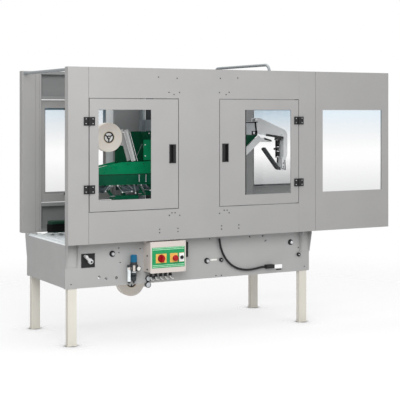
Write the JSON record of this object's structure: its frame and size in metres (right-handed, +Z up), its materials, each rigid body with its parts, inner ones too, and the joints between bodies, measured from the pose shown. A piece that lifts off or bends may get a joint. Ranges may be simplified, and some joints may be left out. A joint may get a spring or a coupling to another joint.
{
  "type": "carton sealer",
  "caption": "Guarded carton sealer with side belts, upper and lower tape units and a flap folder on a roller bed.",
  "frame": {"origin": "on the floor, at the centre of the machine's overall box", "axes": "+X along the carton path from the outfeed end to the infeed end, +Y from the operator's side to the rear, +Z up"},
  "size_m": [2.54, 0.983, 1.854],
  "materials": {
    "guard_sheet": "fine satin powder coat",
    "door_sheet": "fine satin powder coat",
    "clear_pane": "clear polycarbonate",
    "black_plastic": "moulded, fine texture",
    "bed_sheet": "fine satin powder coat",
    "leg_paint": "cream powder coat",
    "roller_steel": "zinc plated",
    "belt_rubber": "ribbed",
    "carriage_green": "satin enamel",
    "head_green": "satin enamel",
    "dark_green": "satin enamel",
    "column_grey": "satin enamel",
    "mechanism_aluminium": "brushed",
    "tape_film": "wound film, smooth",
    "hub_plastic": "moulded",
    "arm_grey": "satin enamel",
    "paddle_black": "satin",
    "box_cream": "fine textured enamel",
    "plate_yellow": "printed plate, bare",
    "switch_red": "moulded",
    "button_black": "moulded",
    "air_grey": "moulded",
    "knob_blue": "moulded",
    "conduit_black": "corrugated"
  },
  "bodies": {
    "frame": {"air_service_unit": "air_grey", "bed_cross_members": "bed_sheet", "bed_rollers": "roller_steel", "bed_sides": "bed_sheet", "cable_fittings": "black_plastic", "conduit": "conduit_black", "control_box": "box_cream", "crank_plate": "black_plastic", "extension_panes": "clear_pane", "guard_brackets": "bed_sheet", "guard_channels_front": "guard_sheet", "guard_channels_rear": "guard_sheet", "guard_extension_front": "guard_sheet", "guard_extension_rear": "guard_sheet", "guard_uprights": "guard_sheet", "head_columns": "column_grey", "hinge_plates": "black_plastic", "legs": "leg_paint", "switch_plates": "plate_yellow", "tape_unit_lower": "mechanism_aluminium", "top_ties": "roller_steel"},
    "front_left_door": {"door_front_left": "door_sheet", "door_pane_front_left": "clear_pane", "door_fittings_front_left": "black_plastic"},
    "front_right_door": {"door_front_right": "door_sheet", "door_pane_front_right": "clear_pane", "door_fittings_front_right": "black_plastic"},
    "rear_left_door": {"door_rear_left": "door_sheet", "door_pane_rear_left": "clear_pane", "door_fittings_rear_left": "black_plastic"},
    "rear_right_door": {"door_rear_right": "door_sheet", "door_pane_rear_right": "clear_pane", "door_fittings_rear_right": "black_plastic"},
    "head": {"head_slide": "column_grey", "head_body": "dark_green", "flap_ski": "arm_grey", "tape_unit_upper": "head_green", "tape_backing_plate": "dark_green", "tape_mechanism": "mechanism_aluminium", "flap_arm": "arm_grey", "flap_cylinder": "black_plastic"},
    "upper_tape": {"tape_roll_upper": "tape_film", "tape_hub_upper": "hub_plastic"},
    "lower_tape": {"tape_roll_lower": "tape_film", "tape_hub_lower": "hub_plastic"},
    "paddle": {"flap_paddle": "paddle_black"},
    "front_belt_unit": {"belt_carriage_front": "carriage_green", "belt_front": "belt_rubber"},
    "rear_belt_unit": {"belt_carriage_rear": "carriage_green", "belt_rear": "belt_rubber"},
    "roller_1": {"outfeed_roller_1": "roller_steel"},
    "roller_2": {"outfeed_roller_2": "roller_steel"},
    "roller_3": {"outfeed_roller_3": "roller_steel"},
    "main_switch_knob": {"main_switch": "switch_red"},
    "stop_push": {"stop_button": "switch_red"},
    "start_push": {"start_button": "button_black"},
    "crank_handle": {"crank": "mechanism_aluminium"},
    "regulator_knob": {"air_knob": "knob_blue"}
  },
  "joints": [
    {"name": "front_left_door_hinge", "type": "hinge", "parent": "frame", "child": "front_left_door", "pos_m": [-1.1255, -0.4515, 1.2325], "axis": [0, 0, -1], "range_deg": [0, 110]},
    {"name": "front_right_door_hinge", "type": "hinge", "parent": "frame", "child": "front_right_door", "pos_m": [0.4755, -0.4515, 1.2325], "axis": [0, 0, 1], "range_deg": [0, 110]},
    {"name": "rear_left_door_hinge", "type": "hinge", "parent": "frame", "child": "rear_left_door", "pos_m": [-1.1255, 0.4845, 1.2325], "axis": [0, 0, 1], "range_deg": [0, 110]},
    {"name": "rear_right_door_hinge", "type": "hinge", "parent": "frame", "child": "rear_right_door", "pos_m": [0.4755, 0.4845, 1.2325], "axis": [0, 0, -1], "range_deg": [0, 110]},
    {"name": "head_height", "type": "slide", "parent": "frame", "child": "head", "axis": [0, 0, 1], "range_m": [-0.23, 0.15]},
    {"name": "upper_tape_spin", "type": "hinge", "parent": "head", "child": "upper_tape", "pos_m": [-0.796, 0.0165, 1.337], "axis": [0, 1, 0], "continuous": true},
    {"name": "lower_tape_spin", "type": "hinge", "parent": "frame", "child": "lower_tape", "pos_m": [-0.624, 0.0165, 0.332], "axis": [0, 1, 0], "continuous": true},
    {"name": "paddle_swing", "type": "hinge", "parent": "head", "child": "paddle", "pos_m": [0.623, 0.0165, 1.09], "axis": [0, -1, 0], "range_deg": [0, 45]},
    {"name": "front_belt_slide", "type": "slide", "parent": "frame", "child": "front_belt_unit", "axis": [0, 1, 0], "range_m": [-0.05, 0.07]},
    {"name": "rear_belt_slide", "type": "slide", "parent": "frame", "child": "rear_belt_unit", "axis": [0, -1, 0], "range_m": [-0.05, 0.07]},
    {"name": "roller_1_spin", "type": "hinge", "parent": "frame", "child": "roller_1", "pos_m": [-1.224, 0.0165, 0.643], "axis": [0, 1, 0], "continuous": true},
    {"name": "roller_2_spin", "type": "hinge", "parent": "frame", "child": "roller_2", "pos_m": [-1.164, 0.0165, 0.643], "axis": [0, 1, 0], "continuous": true},
    {"name": "roller_3_spin", "type": "hinge", "parent": "frame", "child": "roller_3", "pos_m": [-1.104, 0.0165, 0.643], "axis": [0, 1, 0], "continuous": true},
    {"name": "main_switch_turn", "type": "hinge", "parent": "frame", "child": "main_switch_knob", "pos_m": [-0.617, -0.4635, 0.544], "axis": [0, -1, 0], "range_deg": [0, 90]},
    {"name": "stop_press", "type": "slide", "parent": "frame", "child": "stop_push", "axis": [0, 1, 0], "range_m": [0, 0.004]},
    {"name": "start_press", "type": "slide", "parent": "frame", "child": "start_push", "axis": [0, 1, 0], "range_m": [0, 0.003], "stiffness_N_per_m": 800},
    {"name": "crank_turn", "type": "hinge", "parent": "frame", "child": "crank_handle", "pos_m": [-1.078, -0.3635, 0.54], "axis": [0, 1, 0], "continuous": true},
    {"name": "regulator_turn", "type": "hinge", "parent": "frame", "child": "regulator_knob", "pos_m": [-0.78, -0.3755, 0.54], "axis": [0, 0, 1], "continuous": true}
  ],
  "couplings": [
    {"joint": "rear_belt_slide", "follows": "front_belt_slide", "ratio": 1}
  ]
}
